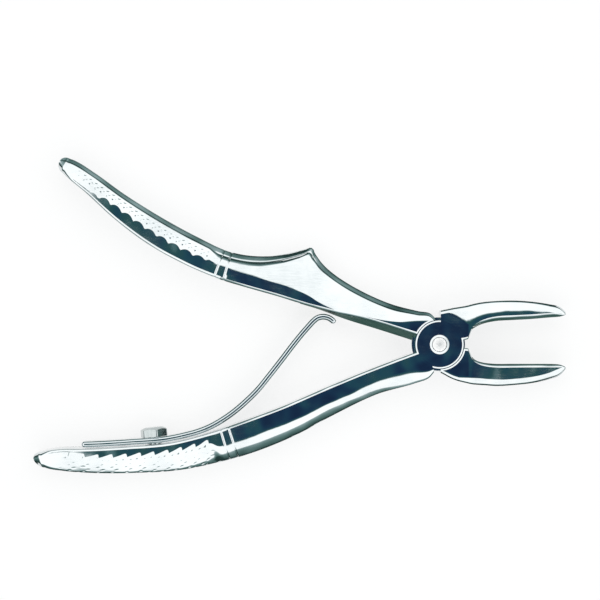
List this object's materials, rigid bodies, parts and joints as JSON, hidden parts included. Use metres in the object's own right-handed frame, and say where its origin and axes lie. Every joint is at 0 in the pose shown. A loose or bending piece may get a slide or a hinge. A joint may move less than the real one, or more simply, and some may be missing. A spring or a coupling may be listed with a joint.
{
  "type": "extraction forceps",
  "caption": "Small extraction forceps with a pinned lap joint, hollow beaks, knurled handles, a finger spur and a screwed leaf spring.",
  "frame": {"origin": "the joint pin's axis at the joint's back face, which is the plane the forceps lie on", "axes": "+X from the pin along the beaks, +Z along the pin from the back lap to the front lap, +Y to the side of the handle with the finger spur"},
  "size_m": [0.1303, 0.0774, 0.0086],
  "materials": {
    "polished_steel": "mirror-polished forged stainless steel",
    "pin_steel": "stainless steel, ground flush",
    "spring_steel": "polished stainless spring strip",
    "screw_steel": "polished stainless steel screw"
  },
  "bodies": {
    "spring_side": {"spring_side_half": "polished_steel", "joint_pin": "pin_steel", "leaf_spring_foot": "spring_steel", "spring_screw": "screw_steel"},
    "spur_side": {"spur_side_half": "polished_steel"},
    "leaf_blade": {"leaf_spring_blade": "spring_steel"}
  },
  "joints": [
    {"name": "joint_pivot", "type": "hinge", "parent": "spring_side", "child": "spur_side", "pos_m": [0, 0, 0], "axis": [0, 0, 1], "range_deg": [-9, 15], "stiffness_Nm_per_rad": 1.5},
    {"name": "leaf_flex", "type": "hinge", "parent": "spring_side", "child": "leaf_blade", "pos_m": [-0.05196, -0.01778, 0], "axis": [0, 0, 1], "range_deg": [-20, 12], "stiffness_Nm_per_rad": 0.05}
  ],
  "couplings": [
    {"joint": "leaf_flex", "follows": "joint_pivot", "ratio": -1.3}
  ]
}
